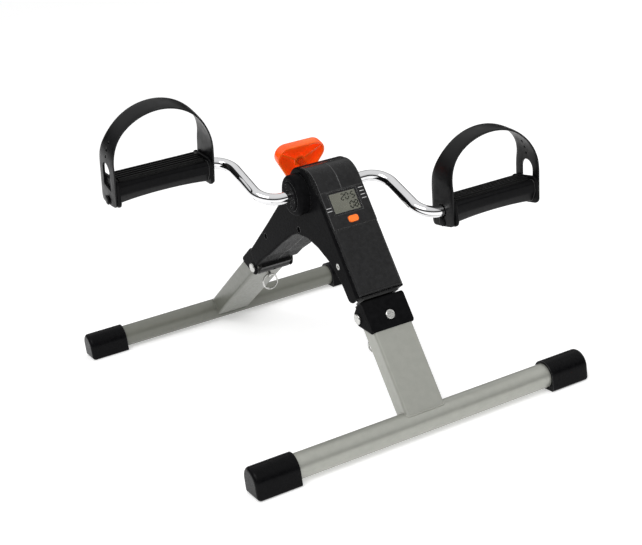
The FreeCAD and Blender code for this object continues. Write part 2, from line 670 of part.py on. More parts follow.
def knob():
    cap = knob_blank(17.5, 12.5, 0, 13)
    cap = soften(cap, 4.0, lambda edge: edge.BoundBox.ZMin > 12.9)
    cap = cap.cut(knob_blank(17.5, 9.7, -1, 10))
    boss = Part.makeCylinder(8.0, 11, V(0, 0, -0.5))
    cap = cap.fuse(boss)
    for index in range(3):
        rib = box(-1.0, 1.0, 0, 24, 3, 11)
        rib.rotate(V(0, 0, 0), Z_AXIS, 120 * index)
        cap = cap.fuse(rib)
    cap = cap.removeSplitter()
    cap = cap.cut(Part.makeCylinder(4.0, 4.0, V(0, 0, -0.5)))
    return cap


cap = knob()
cap.rotate(V(0, 0, 0), X_AXIS, -KNOB_TILT)
cap.translate(knob_point(KNOB_BASE))
save("tension_knob", cap)
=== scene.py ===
import json
import math

import bmesh
import bpy
from mathutils import Matrix, Vector


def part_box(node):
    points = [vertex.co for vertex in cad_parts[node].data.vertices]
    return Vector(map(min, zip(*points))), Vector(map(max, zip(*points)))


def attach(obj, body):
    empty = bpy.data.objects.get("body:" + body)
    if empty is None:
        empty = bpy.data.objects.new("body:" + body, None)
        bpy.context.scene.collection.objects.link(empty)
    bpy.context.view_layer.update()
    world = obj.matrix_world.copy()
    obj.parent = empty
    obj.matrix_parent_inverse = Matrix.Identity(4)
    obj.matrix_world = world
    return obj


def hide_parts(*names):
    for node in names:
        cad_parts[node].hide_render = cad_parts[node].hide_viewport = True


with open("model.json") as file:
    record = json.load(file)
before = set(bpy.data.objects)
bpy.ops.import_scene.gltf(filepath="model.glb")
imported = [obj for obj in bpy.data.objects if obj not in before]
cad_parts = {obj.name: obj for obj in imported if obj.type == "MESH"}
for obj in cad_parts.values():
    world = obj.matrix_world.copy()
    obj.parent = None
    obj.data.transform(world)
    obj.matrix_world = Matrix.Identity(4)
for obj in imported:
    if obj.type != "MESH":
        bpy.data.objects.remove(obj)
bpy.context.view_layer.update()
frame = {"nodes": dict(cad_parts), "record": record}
MM = 0.001

# Dimensions of the machine, mm, as in the CAD model.
AXLE = Vector((0, -84, 225))
CRANK_RADIUS = 79
CRANK_ANGLE = math.radians(27)
INNER_BEND_X = 69
OUTER_BEND_X = 73
BEND_RADIUS = 22
PEDAL_IN = 97
PEDAL_OUT = 201
PEDAL_PITCH = {"left": 6, "right": -5}
STRAP_TOP = {"left": 83, "right": 77}
STRAP_SIDE = 30
WINDOW_HALF = 9.5
STRAP_LEAN = 12
KNOB_TILT = math.radians(66)
KNOB_BASE = 49
BAR_SPACING = 466
BAR_Z = 14.5
PIN_OFFSET = 7
ROD_RADIUS = 6.0
# Side of the footprint, tilt in degrees and pin height along the leg.
LEGS = {"front": (-1, 31, 115), "rear": (1, 57, 181)}

# Dimensions of the finer visual pieces, mm.
PLATE_THICK = 3.4
STUD_AT = (2.49, -11.74)
STRAP_HOLES = ((0, 37), (-2, 44), (-5, 51))
STRAP_HOLE_RADIUS = 1.6
STUD_HOLE = (-12, 3.3)
ROD_HOLE = (0, 7.6)
RING_RADIUS = 9.0
RING_WIRE = 1.0
LCD_FACE = -22.95
CASE_FACE = -24.0
WELD_RADIUS = 12.9


# ---------------------------------------------------------------- materials
class Shader:
    """A Principled material built up from small procedural layers."""

    def __init__(self, name, color, roughness, metallic=0.0):
        self.mat = bpy.data.materials.new(name)
        self.mat.use_nodes = True
        self.nodes = self.mat.node_tree.nodes
        self.links = self.mat.node_tree.links
        self.bsdf = self.nodes["Principled BSDF"]
        self.bsdf.inputs["Base Color"].default_value = (*color, 1)
        self.bsdf.inputs["Roughness"].default_value = roughness
        self.bsdf.inputs["Metallic"].default_value = metallic
        self.color = color
        self.coords = self.nodes.new("ShaderNodeTexCoord")
        self.normal = None
        self.tint = None
        self.edge = None

    def noise(self, scale, detail=4.0, stretch=(1, 1, 1)):
        mapping = self.nodes.new("ShaderNodeMapping")
        mapping.inputs["Scale"].default_value = stretch
        self.links.new(self.coords.outputs["Object"], mapping.inputs["Vector"])
        noise = self.nodes.new("ShaderNodeTexNoise")
        noise.inputs["Scale"].default_value = scale
        noise.inputs["Detail"].default_value = detail
        self.links.new(mapping.outputs["Vector"], noise.inputs["Vector"])
        return noise.outputs["Fac"]

    def ramp(self, source, low, high, at=(0.35, 0.65)):
        span = self.nodes.new("ShaderNodeMapRange")
        span.inputs["From Min"].default_value = at[0]
        span.inputs["From Max"].default_value = at[1]
        span.inputs["To Min"].default_value = low
        span.inputs["To Max"].default_value = high
        self.links.new(source, span.inputs["Value"])
        return span.outputs["Result"]

    def mix(self, factor, first, second):
        node = self.nodes.new("ShaderNodeMix")
        node.data_type = "RGBA"
        self.links.new(factor, node.inputs["Factor"])
        for value, slot in ((first, node.inputs[6]), (second, node.inputs[7])):
            if isinstance(value, tuple):
                slot.default_value = (*value, 1)
            else:
                self.links.new(value, slot)
        self.tint = node.outputs[2]
        self.links.new(self.tint, self.bsdf.inputs["Base Color"])
        return self

    def mottle(self, scale, darker, lighter, stretch=(1, 1, 1)):
        factor = self.ramp(self.noise(scale, 5, stretch), 0, 1)
        low = tuple(c * darker for c in self.color)
        high = tuple(min(1, c * lighter) for c in self.color)
        return self.mix(factor, low, high)

    def uneven(self, scale, low, high, stretch=(1, 1, 1)):
        self.links.new(self.ramp(self.noise(scale, 6, stretch), low, high), self.bsdf.inputs["Roughness"])
        return self

    def edges(self, radius):
        bevel = self.nodes.new("ShaderNodeBevel")
        bevel.samples = 4
        bevel.inputs["Radius"].default_value = radius * MM
        self.normal = bevel.outputs["Normal"]
        self.links.new(self.normal, self.bsdf.inputs["Normal"])
        return self

    def paler_edges(self, radius, color, amount):
        """Edges blended towards a paler colour; on the black plastics this is a painted highlight."""
        bevel = self.nodes.new("ShaderNodeBevel")
        bevel.samples = 8
        bevel.inputs["Radius"].default_value = radius * MM
        face = self.nodes.new("ShaderNodeNewGeometry")
        dot = self.nodes.new("ShaderNodeVectorMath")
        dot.operation = "DOT_PRODUCT"
        self.links.new(bevel.outputs["Normal"], dot.inputs[0])
        self.links.new(face.outputs["Normal"], dot.inputs[1])
        factor = self.ramp(dot.outputs["Value"], amount, 0, (0.7, 0.98))
        self.mix(factor, self.tint or self.color, color)
        self.edge = dot.outputs["Value"]
        return self

    def glint(self, flat, edge):
        """Faces keep a low shine and the paler rounded edges a high one."""
        level = self.ramp(self.edge, edge, flat, (0.75, 0.985))
        self.links.new(level, self.bsdf.inputs["Specular IOR Level"])
        return self

    def bump(self, height, distance, strength=1.0):
        node = self.nodes.new("ShaderNodeBump")
        node.inputs["Strength"].default_value = strength
        node.inputs["Distance"].default_value = distance * MM
        self.links.new(height, node.inputs["Height"])
        if self.normal:
            self.links.new(self.normal, node.inputs["Normal"])
        self.normal = node.outputs["Normal"]
        self.links.new(self.normal, self.bsdf.inputs["Normal"])
        return self

    def grain(self, scale, distance, strength=1.0, detail=3.0, stretch=(1, 1, 1)):
        return self.bump(self.noise(scale, detail, stretch), distance, strength)

    def set(self, name, value):
        self.bsdf.inputs[name].default_value = value
        return self


def painted_tube(name, color, metallic):
    paint = Shader(name, color, 0.36, metallic)
    paint.mottle(140, 0.97, 1.03).edges(0.6)
    paint.uneven(260, 0.30, 0.40).grain(2600, 0.015, 0.25)
    paint.grain(110, 0.06, 0.08)
    return paint.set("Coat Weight", 0.15).set("Coat Roughness", 0.2).mat


def black_plastic(name, color, rough, grain, strength, edge, edge_highlight, shine):
    plastic = Shader(name, color, 0.4)
    # The paler grey (0.16) blended along the rounded edges is a painted highlight.
    plastic.mottle(220, 0.85, 1.2).paler_edges(edge, (0.16, 0.16, 0.16), edge_highlight).glint(shine, 0.6)
    return plastic.edges(edge).uneven(320, *rough).grain(grain, 0.04, strength).mat


def steel(name, color, roughness, metallic=1.0):
    metal = Shader(name, color, roughness, metallic)
    metal.mottle(400, 0.85, 1.08).edges(0.2).uneven(700, roughness * 0.7, roughness * 1.4)
    return metal.grain(1800, 0.02, 0.4, 3, (1, 0.15, 1)).mat


def chrome():
    metal = Shader("chrome", (0.80, 0.80, 0.81), 0.06, 1.0)
    metal.mottle(35, 0.97, 1.02).uneven(90, 0.035, 0.075)
    return metal.grain(1500, 0.004, 0.25).mat


def vinyl(name, color):
    band = Shader(name, color, 0.42)
    band.mottle(120, 0.85, 1.2).paler_edges(0.7, (0.10, 0.10, 0.10), 0.35).edges(0.4)
    band.uneven(120, 0.28, 0.42).grain(1400, 0.05, 0.3).grain(70, 0.2, 0.10)
    return band.set("Specular IOR Level", 0.16).mat


def orange(name, color, deep):
    gloss = Shader(name, color, 0.2)
    gloss.mix(gloss.ramp(gloss.noise(60, 3), 0, 1), color, deep)
    gloss.edges(0.5).uneven(150, 0.14, 0.26).grain(900, 0.02, 0.2)
    gloss.set("Subsurface Weight", 0.25).set("Subsurface Scale", 0.004)
    gloss.bsdf.inputs["Subsurface Radius"].default_value = (1.0, 0.35, 0.1)
    # The emission is a painted glow that brightens the orange plastic; the part is no lamp.
    gloss.bsdf.inputs["Emission Color"].default_value = (*color, 1)
    gloss.set("Emission Strength", 0.24).set("Specular IOR Level", 0.35)
    return gloss.set("Coat Weight", 0.15).set("Coat Roughness", 0.12).mat


def clear(name, color, amount):
    glass = Shader(name, color, 0.05)
    glass.uneven(300, 0.03, 0.09).grain(1200, 0.003, 0.2)
    glass.set("Alpha", amount)
    return glass.mat


def felt():
    wool = Shader("brake_felt", (0.10, 0.075, 0.05), 0.95)
    return wool.mottle(600, 0.6, 1.3).grain(2500, 0.3, 0.9).mat


def board():
    mask = Shader("board_green", (0.01, 0.10, 0.04), 0.35)
    return mask.mottle(300, 0.7, 1.3).edges(0.1).grain(1500, 0.02, 0.3).mat


def lcd():
    panel = Shader("lcd_glass", (0.185, 0.188, 0.150), 0.4)
    return panel.mottle(120, 0.92, 1.06).grain(3000, 0.005, 0.2).mat


# Color, roughness range, grain scale and strength, edge radius in mm, amount of painted edge highlight, shine
# of the faces.
BLACKS = {
    "black_plastic": ((0.0065, 0.0065, 0.007), (0.24, 0.34), 1700, 0.3, 0.9, 0.5, 0.008),
    "case_plastic": ((0.019, 0.019, 0.0195), (0.20, 0.30), 2200, 0.25, 1.0, 0.8, 0.12),
    "pedal_plastic": ((0.004, 0.004, 0.0045), (0.28, 0.42), 1300, 0.4, 0.8, 0.25, 0.08),
    "tread_rubber": ((0.005, 0.005, 0.005), (0.36, 0.5), 1000, 0.4, 0.5, 0.2, 0.10),
    "cap_rubber": ((0.0035, 0.0035, 0.004), (0.22, 0.34), 1200, 0.35, 1.0, 0.3, 0.07),
}
MATERIALS = {name: black_plastic(name, *row) for name, row in BLACKS.items()}
MATERIALS |= {
    "front_tube": painted_tube("front_tube", (0.385, 0.39, 0.352), 0.35),
    # rear_tube is the front tube's painted steel made darker: painted shade on the rear leg and bar.
    "rear_tube": painted_tube("rear_tube", (0.16, 0.164, 0.139), 0.08),
    "strap_vinyl": vinyl("strap_vinyl", (0.006, 0.006, 0.0065)),
    "chrome": chrome(),
    "orange_plastic": orange("orange_plastic", (1.0, 0.135, 0.012), (0.97, 0.075, 0.006)),
    "button_orange": orange("button_orange", (1.0, 0.20, 0.02), (0.97, 0.16, 0.015)),
    "lcd_window": clear("lcd_window", (0.02, 0.02, 0.02), 0.05),
    "lcd_glass": lcd(),
    "board_green": board(),
    "zinc_steel": steel("zinc_steel", (0.62, 0.62, 0.60), 0.26),
    "spring_steel": steel("spring_steel", (0.45, 0.45, 0.46), 0.3),
    "dark_steel": steel("dark_steel", (0.03, 0.03, 0.03), 0.45, 0.6),
    "brake_felt": felt(),
    "nylon_bush": Shader("nylon_bush", (0.72, 0.71, 0.66), 0.45).mottle(200, 0.95, 1.03).edges(0.2)
    .grain(1500, 0.02, 0.3).mat,
    "brass_insert": steel("brass_insert", (0.62, 0.42, 0.15), 0.25),
    "sensor_glass": clear("sensor_glass", (0.3, 0.5, 0.3), 0.5),
}
PRINT_INK = Shader("white_ink", (0.75, 0.75, 0.75), 0.6).mottle(900, 0.8, 1.05).mat
SEGMENT_INK = Shader("segment_ink", (0.012, 0.014, 0.012), 0.6).mottle(900, 0.8, 1.2)
SEGMENT_INK = SEGMENT_INK.set("Specular IOR Level", 0.05).mat

for part in frame["record"]["subparts"]:
    node = frame["nodes"][part["node"]]
    node.data.materials.clear()
    node.data.materials.append(MATERIALS[part["material_slot"]])


# ------------------------------------------------------------- mesh helpers
def piece(name, bm, slot, body, replaces=(), smooth=35, material=None):
    bmesh.ops.recalc_face_normals(bm, faces=bm.faces)
    mesh = bpy.data.meshes.new(name)
    bmesh.ops.scale(bm, vec=(MM, MM, MM), verts=bm.verts)
    bm.to_mesh(mesh)
    bm.free()
    mesh.shade_smooth()
    mesh.set_sharp_from_angle(angle=math.radians(smooth))
    mesh.materials.append(material or MATERIALS[slot])
    obj = bpy.data.objects.new(name, mesh)
    bpy.context.scene.collection.objects.link(obj)
    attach(obj, body)
    if replaces:
        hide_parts(*replaces)
    return obj


def ring_stack(bm, rings, closed_path=False, caps=True):
    """Joins rings of points (same count) into a skin, with end caps."""
    loops = [[bm.verts.new(p) for p in ring] for ring in rings]
    count = len(loops[0])
    pairs = list(zip(loops, loops[1:]))
    if closed_path:
        pairs.append((loops[-1], loops[0]))
    for low, high in pairs:
        for i in range(count):
            j = (i + 1) % count
            bm.faces.new((low[i], low[j], high[j], high[i]))
    if caps and not closed_path:
        bm.faces.new(loops[0][::-1])
        bm.faces.new(loops[-1])
    return loops


def rounded(points, radii, steps=6):
    """Corner points of a closed outline turned into arcs. Points are (a, b)."""
    outline = []
    count = len(points)
    for i, point in enumerate(points):
        before = Vector(points[i - 1]) - Vector(point)
        after = Vector(points[(i + 1) % count]) - Vector(point)
        radius = radii[i] if isinstance(radii, (list, tuple)) else radii
        half = before.angle(after) / 2
        reach = min(radius / math.tan(half), before.length * 0.49, after.length * 0.49)
        radius = reach * math.tan(half)
        start = Vector(point) + before.normalized() * reach
        end = Vector(point) + after.normalized() * reach
        inward = (before.normalized() + after.normalized()).normalized()
        centre = Vector(point) + inward * (radius / math.sin(half))
        first, last = start - centre, end - centre
        sweep = first.angle_signed(last)
        for k in range(steps + 1):
            turn = Matrix.Rotation(-sweep * k / steps, 2)
            outline.append(centre + turn @ first)
    return outline


def inset(outline, amount):
    """Outline moved inwards by an amount, along its own normals."""
    count = len(outline)
    area = sum(outline[i - 1].x * outline[i].y - outline[i].x * outline[i - 1].y for i in range(count))
    sign = 1 if area > 0 else -1
    moved = []
    for i, point in enumerate(outline):
        tangent = outline[(i + 1) % count] - outline[i - 1]
        if tangent.length < 1e-9:
            moved.append(point.copy())
            continue
        tangent.normalize()
        moved.append(point + Vector((-tangent.y, tangent.x)) * amount * sign)
    return moved


def slab(bm, outline, low, high, edge, place, steps=4):
    """A plate with softened edges: outline in (a, b), thickness from low to high."""
    rings = []
    for k in range(steps + 1):
        angle = math.pi / 2 * k / steps
        rings.append((edge * (1 - math.sin(angle)), low + edge * (1 - math.cos(angle))))
    for k in range(steps + 1):
        angle = math.pi / 2 * (1 - k / steps)
        rings.append((edge * (1 - math.sin(angle)), high - edge * (1 - math.cos(angle))))
    skin = [[place(p.x, p.y, depth) for p in inset(outline, shrink)] for shrink, depth in rings]
    return ring_stack(bm, skin)


def turned(bm, profile, place, sides=40):
    """Solid of revolution: profile of (radius, height)."""
    rings = []
    for radius, height in profile:
        ring = []
        for k in range(sides):
            angle = 2 * math.pi * k / sides
            ring.append(place(radius * math.cos(angle), radius * math.sin(angle), height))
        rings.append(ring)
    ring_stack(bm, rings)


def circle(radius, height, steps):
    """Points (a, b) of a circle centred at b = height."""
    angles = [2 * math.pi * k / steps for k in range(steps)]
    return [(radius * math.cos(angle), height + radius * math.sin(angle)) for angle in angles]


def punch(outline, stations, place):
    """Straight cutter: the outline repeated at each station along the axle."""
    bm = bmesh.new()
    ring_stack(bm, [[place(x, a, b) for a, b in outline] for x in stations])
    return cutter(bm)


def drill(obj, cutters):
    """Cuts closed meshes out of a piece and bakes the result."""
    for cutter in cutters:
        mod = obj.modifiers.new("cut", "BOOLEAN")
        mod.operation = "DIFFERENCE"
        mod.solver = "EXACT"
        mod.object = cutter
    mod = obj.modifiers.new("rim", "BEVEL")
    mod.width = 0.45 * MM
    mod.segments = 3
    mod.limit_method = "ANGLE"
    mod.angle_limit = math.radians(40)
    graph = bpy.context.evaluated_depsgraph_get()
    baked = bpy.data.meshes.new_from_object(obj.evaluated_get(graph))
    obj.modifiers.clear()
    old = obj.data
    obj.data = baked
    baked.name = old.name + "_cut"
    bpy.data.meshes.remove(old)
    for cutter in cutters:
        data = cutter.data
        bpy.data.objects.remove(cutter)
        bpy.data.meshes.remove(data)
    baked.shade_smooth()
    baked.set_sharp_from_angle(angle=math.radians(35))


def cutter(bm):
    bmesh.ops.recalc_face_normals(bm, faces=bm.faces)
    bmesh.ops.scale(bm, vec=(MM, MM, MM), verts=bm.verts)
    mesh = bpy.data.meshes.new("cutter")
    bm.to_mesh(mesh)
    bm.free()
    obj = bpy.data.objects.new("cutter", mesh)
    bpy.context.scene.collection.objects.link(obj)
    return obj


# -------------------------------------------------------------------- crank
def crank_ends():
    swing = Vector((0, math.cos(CRANK_ANGLE), math.sin(CRANK_ANGLE))) * CRANK_RADIUS
    return AXLE + swing, AXLE - swing


def crank_path():
    high, low = crank_ends()
    end = PEDAL_OUT - 0.5
    corners = [Vector((-end, high.y, high.z)), Vector((-OUTER_BEND_X, high.y, high.z)),
               Vector((-INNER_BEND_X, AXLE.y, AXLE.z)), Vector((INNER_BEND_X, AXLE.y, AXLE.z)),
               Vector((OUTER_BEND_X, low.y, low.z)), Vector((end, low.y, low.z))]
    path = [corners[0]]
    for before, corner, after in zip(corners, corners[1:], corners[2:]):
        into = (corner - before).normalized()
        out = (after - corner).normalized()
        turn = into.angle(out)
        reach = BEND_RADIUS * math.tan(turn / 2)
        centre = corner + (out - into).normalized() * (BEND_RADIUS / math.cos(turn / 2))
        first = corner - into * reach - centre
        axis = into.cross(out).normalized()
        for k in range(25):
            path.append(centre + Matrix.Rotation(turn * k / 24, 3, axis) @ first)
    path.append(corners[-1])
    return path


def swept(bm, path, radius, side, sides=48, end_soft=0.6):
    """Round wire along a flat path; side is the normal of the path's plane."""
    rings = []
    for i, point in enumerate(path):
        tangent = (path[min(i + 1, len(path) - 1)] - path[max(i - 1, 0)]).normalized()
        other = tangent.cross(side).normalized()
        sizes = [(0, radius)]
        if i == 0:
            sizes = [(0, radius - end_soft), (end_soft * 0.3, radius - end_soft * 0.3), (end_soft, radius)]
        if i == len(path) - 1:
            sizes = [(-end_soft, radius), (-end_soft * 0.3, radius - end_soft * 0.3), (0, radius - end_soft)]
        for shift, size in sizes:
            centre = point + tangent * shift
            angles = [2 * math.pi * k / sides for k in range(sides)]
            rings.append([centre + (other * math.cos(a) + side * math.sin(a)) * size for a in angles])
    ring_stack(bm, rings)


def make_crank():
    bm = bmesh.new()
    side = Vector((0, -math.sin(CRANK_ANGLE), math.cos(CRANK_ANGLE)))
    swept(bm, crank_path(), ROD_RADIUS, side)
    piece("crank_rod_polished", bm, "chrome", "crank", ["crank_rod"], 50)


# ------------------------------------------------------------------- pedals
def pedal_frame(name, lean=0.0):
    """Maps pedal coordinates (out along the axle, across, up) to the machine."""
    high, low = crank_ends()
    centre = high if name == "left" else low
    sign = -1 if name == "left" else 1
    turn = Matrix.Rotation(math.radians(PEDAL_PITCH[name] + lean), 3, "X")

    def place(x, y, z):
        return turn @ Vector((sign * x, y, z)) + Vector((0, centre.y, centre.z))

    return place


def pedal_section(t):
    """Cross-section (y, z) of the foot bar, t from -1 at the inner end to 1 at the outer."""
    flare = abs(t) ** 2.2
    half = 17.0 + 2.4 * flare
    bottom = -12.0 - 2.4 * flare
    chin = 9.5 + 1.3 * flare
    corners = [(-half, 5.2), (-half + 3.2, 8.9), (half - 3.2, 8.9), (half, 5.2),
               (half - 0.8, -3.5), (chin, bottom), (-chin, bottom), (-half + 0.8, -3.5)]
    return rounded(corners, [3, 2.4, 2.4, 3, 6, 4, 4, 6], 5)


def make_pedal(name):
    place = pedal_frame(name)
    body = name + "_pedal"
    bm = bmesh.new()
    low, high = PEDAL_IN + 2.2, PEDAL_OUT - 2.2
    rings = []
    for k in range(41):
        t = -1 + 2 * k / 40
        x = low + (high - low) * k / 40
        rings.append([place(x, p.x, p.y) for p in pedal_section(t)])
    ring_stack(bm, rings)
    inner = rounded([(-20.5, -16.5), (20.5, -16.5), (21, 12.6), (-21, 12.6)], [7, 7, 5, 5], 8)
    for start, end in ((PEDAL_IN, PEDAL_IN + PLATE_THICK), (PEDAL_OUT - PLATE_THICK, PEDAL_OUT)):
        slab(bm, inner, start, end, 1.1, lambda a, b, d: place(d, a, b))
    outer_stud = (PEDAL_OUT - 1, PEDAL_OUT + 3.2, PEDAL_OUT + 5)
    inner_stud = (PEDAL_IN + 1, PEDAL_IN - 2.7, PEDAL_IN - 4.2)
    for x0, x1, x2 in (outer_stud, inner_stud):
        s = 1 if x2 > x0 else -1
        profile = [(0.01, x0), (2.9, x0), (2.9, x1), (4.2, x1), (4.95, x1 + 0.35 * s), (5.0, x1 + 0.8 * s),
                   (4.5, x2 - 0.35 * s), (3.4, x2 - 0.05 * s), (0.01, x2)]
        turned(bm, profile, lambda a, b, h: place(h, a + STUD_AT[0], b + STUD_AT[1]))
    boss = [(6.3, PEDAL_IN + 0.5), (6.3, PEDAL_IN - 1.7), (6.6, PEDAL_IN - 2.0), (8.6, PEDAL_IN - 2.0),
            (9.2, PEDAL_IN - 1.4), (9.2, PEDAL_IN + 0.5)]
    turned_ring(bm, boss, lambda a, b, h: place(h, a, b))
    piece(name + "_pedal_body", bm, "pedal_plastic", body, [name + "_pedal_core"], 40)

    bm = bmesh.new()
    pad = [(PEDAL_IN + 4, -14.6), (PEDAL_OUT - 4, -14.6), (PEDAL_OUT - 4, 14.6), (PEDAL_IN + 4, 14.6)]
    pad = rounded(pad, 3, 5)
    slab(bm, pad, 8.4, 10.2, 0.6, place)
    for index in range(5):
        y = -12.0 + 6.0 * index
        rib = rounded([(PEDAL_IN + 5.5, y - 1.5), (PEDAL_OUT - 5.5, y - 1.5),
                       (PEDAL_OUT - 5.5, y + 1.5), (PEDAL_IN + 5.5, y + 1.5)], 1.4, 5)
        slab(bm, rib, 9.8, 12.4, 0.7, place)
    piece(name + "_pedal_ribs", bm, "tread_rubber", body, [name + "_pedal_tread"], 40)


def turned_ring(bm, profile, place, sides=48):
    """Ring of revolution: the profile's ends are joined."""
    rings = []
    for radius, height in profile:
        ring = []
        for k in range(sides):
            angle = 2 * math.pi * k / sides
            ring.append(place(radius * math.cos(angle), radius * math.sin(angle), height))
        rings.append(ring)
    ring_stack(bm, rings, closed_path=True)


def strap_line(height, steps=64):
    """Points (x, z, outward normal) along the strap's middle, from the inner stud to the outer."""
    middle = (PEDAL_IN + PEDAL_OUT) / 2
    half = (PEDAL_OUT - PEDAL_IN) / 2 + 1.4
    side = STRAP_SIDE
    rise = height - side - 1.2
    low = [-17, -16.8, -16.3, -15.4, -14.2, -12.6, -10] + [-7 + (side + 7) * k / 10 for k in range(10)]
    line = [(middle - half, z, Vector((-1, 0))) for z in low]
    for k in range(steps + 1):
        angle = math.pi * (1 - k / steps)
        normal = Vector((math.cos(angle) / half, math.sin(angle) / rise)).normalized()
        line.append((middle + half * math.cos(angle), side + rise * math.sin(angle), normal))
    line += [(middle + half, z, Vector((1, 0))) for z in reversed(low)]
    return line


def strap_half(z):
    """Half width of the band: broad at both ends, slim over the foot."""
    blend = max(0.0, min(1.0, (z - 20) / 46))
    blend = blend * blend * (3 - 2 * blend)
    corner = 5.0
    reach = max(0.0, corner - (z + 17))
    return 19.0 - 7.0 * blend - (corner - math.sqrt(max(0.0, corner ** 2 - reach ** 2)))


def make_strap(name):
    place = pedal_frame(name, STRAP_LEAN)
    line = strap_line(STRAP_TOP[name])
    rings = []
    across = 10
    for x, z, normal in line:
        half = strap_half(z)
        ring = []
        for face in (1, -1):
            for k in range(across + 1):
                v = -1 + 2 * k / across
                v = v if face > 0 else -v
                thick = 1.15 * math.sqrt(max(0.0, 1 - 0.55 * abs(v) ** 6))
                crown = 0.35 * (1 - v * v)
                off = normal * (face * thick + crown - 0.2)
                shear = max(0.0, min(1.0, (1 - z) / 18)) * math.tan(math.radians(STRAP_LEAN))
                ring.append(place(x + off.x, v * half, z + off.y - v * half * shear))
        rings.append(ring)
    bm = bmesh.new()
    ring_stack(bm, rings)
    strap = piece(name + "_strap_band", bm, "strap_vinyl", name + "_pedal", [name + "_foot_strap"], 35)

    arch = [(-WINDOW_HALF, 2), (WINDOW_HALF, 2)]
    for k in range(17):
        angle = math.pi * k / 16
        arch.append((WINDOW_HALF * math.cos(angle), 20.5 + WINDOW_HALF * math.sin(angle)))
    cutters = [punch(arch, (PEDAL_OUT - 5, PEDAL_OUT + 9), place)]
    for shift, z in STRAP_HOLES:
        x = PEDAL_OUT + shift
        cutters.append(punch(circle(STRAP_HOLE_RADIUS, z, 20), (x - 14, x + 12), place))
    for x, holes in ((PEDAL_IN, (STUD_HOLE, ROD_HOLE)), (PEDAL_OUT, (STUD_HOLE,))):
        for z, radius in holes:
            cutters.append(punch(circle(radius, z, 24), (x - 7, x + 7), place))
    drill(strap, cutters)


# --------------------------------------------------------------------- knob
def knob_outline(lobe, spread=17.5, steps=16):
    outline = []
    for index in range(3):
        middle = 2 * math.pi * index / 3 + math.pi / 2
        centre = Vector((spread * math.cos(middle), spread * math.sin(middle)))
        for k in range(steps + 1):
            angle = middle - math.pi / 3 + 2 * math.pi / 3 * k / steps
            outline.append(centre + Vector((math.cos(angle), math.sin(angle))) * lobe)
        for k in range(1, 6):
            following = 2 * math.pi * (index + 1) / 3 + math.pi / 2
            other = Vector((spread * math.cos(following), spread * math.sin(following)))
            angle = middle + math.pi / 3
            edge = Vector((math.cos(angle), math.sin(angle))) * lobe
            outline.append((centre + edge).lerp(other + edge, k / 6))
    return outline


def knob_place(x, y, z):
    turn = Matrix.Rotation(-KNOB_TILT, 3, "X")
    base = AXLE + turn @ Vector((0, 0, KNOB_BASE))
    return base + turn @ Vector((x, y, z))


def make_knob():
    bm = bmesh.new()
    stations = [(9.9, 9.8), (9.9, 6.0), (9.9, 0.9), (10.2, 0.25), (10.8, 0.0), (11.7, 0.0),
                (12.2, 0.3), (12.5, 1.0), (12.5, 4.5), (12.3, 8.0)]
    for k in range(1, 8):
        angle = math.pi / 2 * k / 7
        stations.append((12.3 - 4.8 * (1 - math.cos(angle)), 8.0 + 5.0 * math.sin(angle)))
    rings = []
    for lobe, z in stations:
        rings.append([knob_place(p.x, p.y, z) for p in knob_outline(lobe)])
    for shrink in (0.6, 0.25):
        rings.append([knob_place(p.x * shrink, p.y * shrink, 13.0) for p in knob_outline(7.5)])
    ring_stack(bm, rings)
    hub = [(0.01, 9.9), (6.6, 9.9), (6.4, 3.4), (6.0, 3.0), (4.4, 3.0), (4.05, 3.3), (4.05, 3.6), (0.01, 3.6)]
    turned(bm, hub, knob_place, 48)
    for index in range(3):
        turn = 2 * math.pi * index / 3 + math.pi / 2
        along = Vector((math.cos(turn), math.sin(turn)))
        cross = Vector((-along.y, along.x))
        rib = [along * 7 + cross * 1.1, along * 7 - cross * 1.1,
               along * 27 - cross * 0.8, along * 27 + cross * 0.8]
        ring_stack(bm, [[knob_place(p.x, p.y, z) for p in rib] for z in (2.5, 10)])
    piece("tension_knob_moulded", bm, "orange_plastic", "tension_screw", ["tension_knob"], 40)


# ------------------------------------------------------- display and prints
def leg_point(side, u, w):
    sign, tilt, drop = LEGS[side]
    tilt = math.radians(tilt)
    y = sign * BAR_SPACING / 2 - sign * (drop * math.sin(tilt) + PIN_OFFSET * math.cos(tilt))
    z = BAR_Z + drop * math.cos(tilt) - PIN_OFFSET * math.sin(tilt)
    return y - sign * (u * math.cos(tilt) + w * math.sin(tilt)), z - u * math.sin(tilt) + w * math.cos(tilt)


def face_place(x, w, u):
    y, z = leg_point("front", u, w)
    return Vector((x, y, z))


SEGMENTS = {"0": "abcdef", "2": "abged", "5": "afgcd", "8": "abcdefg"}


def digit(bm, char, x, w, size, depth):
    wide, tall, thick = size * 0.52, size, size * 0.17
    gap = thick * 0.3
    bars = {"a": ((0, tall), (wide, tall)), "g": ((0, tall / 2), (wide, tall / 2)), "d": ((0, 0), (wide, 0)),
            "f": ((0, tall / 2), (0, tall)), "b": ((wide, tall / 2), (wide, tall)),
            "e": ((0, 0), (0, tall / 2)), "c": ((wide, 0), (wide, tall / 2))}
    for name in SEGMENTS[char]:
        start, end = Vector(bars[name][0]), Vector(bars[name][1])
        along = (end - start).normalized()
        cross = Vector((-along.y, along.x)) * thick / 2
        start, end = start + along * gap, end - along * gap
        outline = [start, start + along * thick / 2 + cross, end - along * thick / 2 + cross, end,
                   end - along * thick / 2 - cross, start + along * thick / 2 - cross]
        faces = (depth, depth - 0.12)
        ring_stack(bm, [[face_place(x + p.x + p.y * 0.08, w + p.y, u) for p in outline] for u in faces])


def bar_mark(bm, x0, x1, w0, w1, depth, thick=0.12):
    outline = rounded([(x0, w0), (x1, w0), (x1, w1), (x0, w1)], min(x1 - x0, w1 - w0) * 0.3, 3)
    ring_stack(bm, [[face_place(p.x, p.y, u) for p in outline] for u in (depth, depth - thick)])


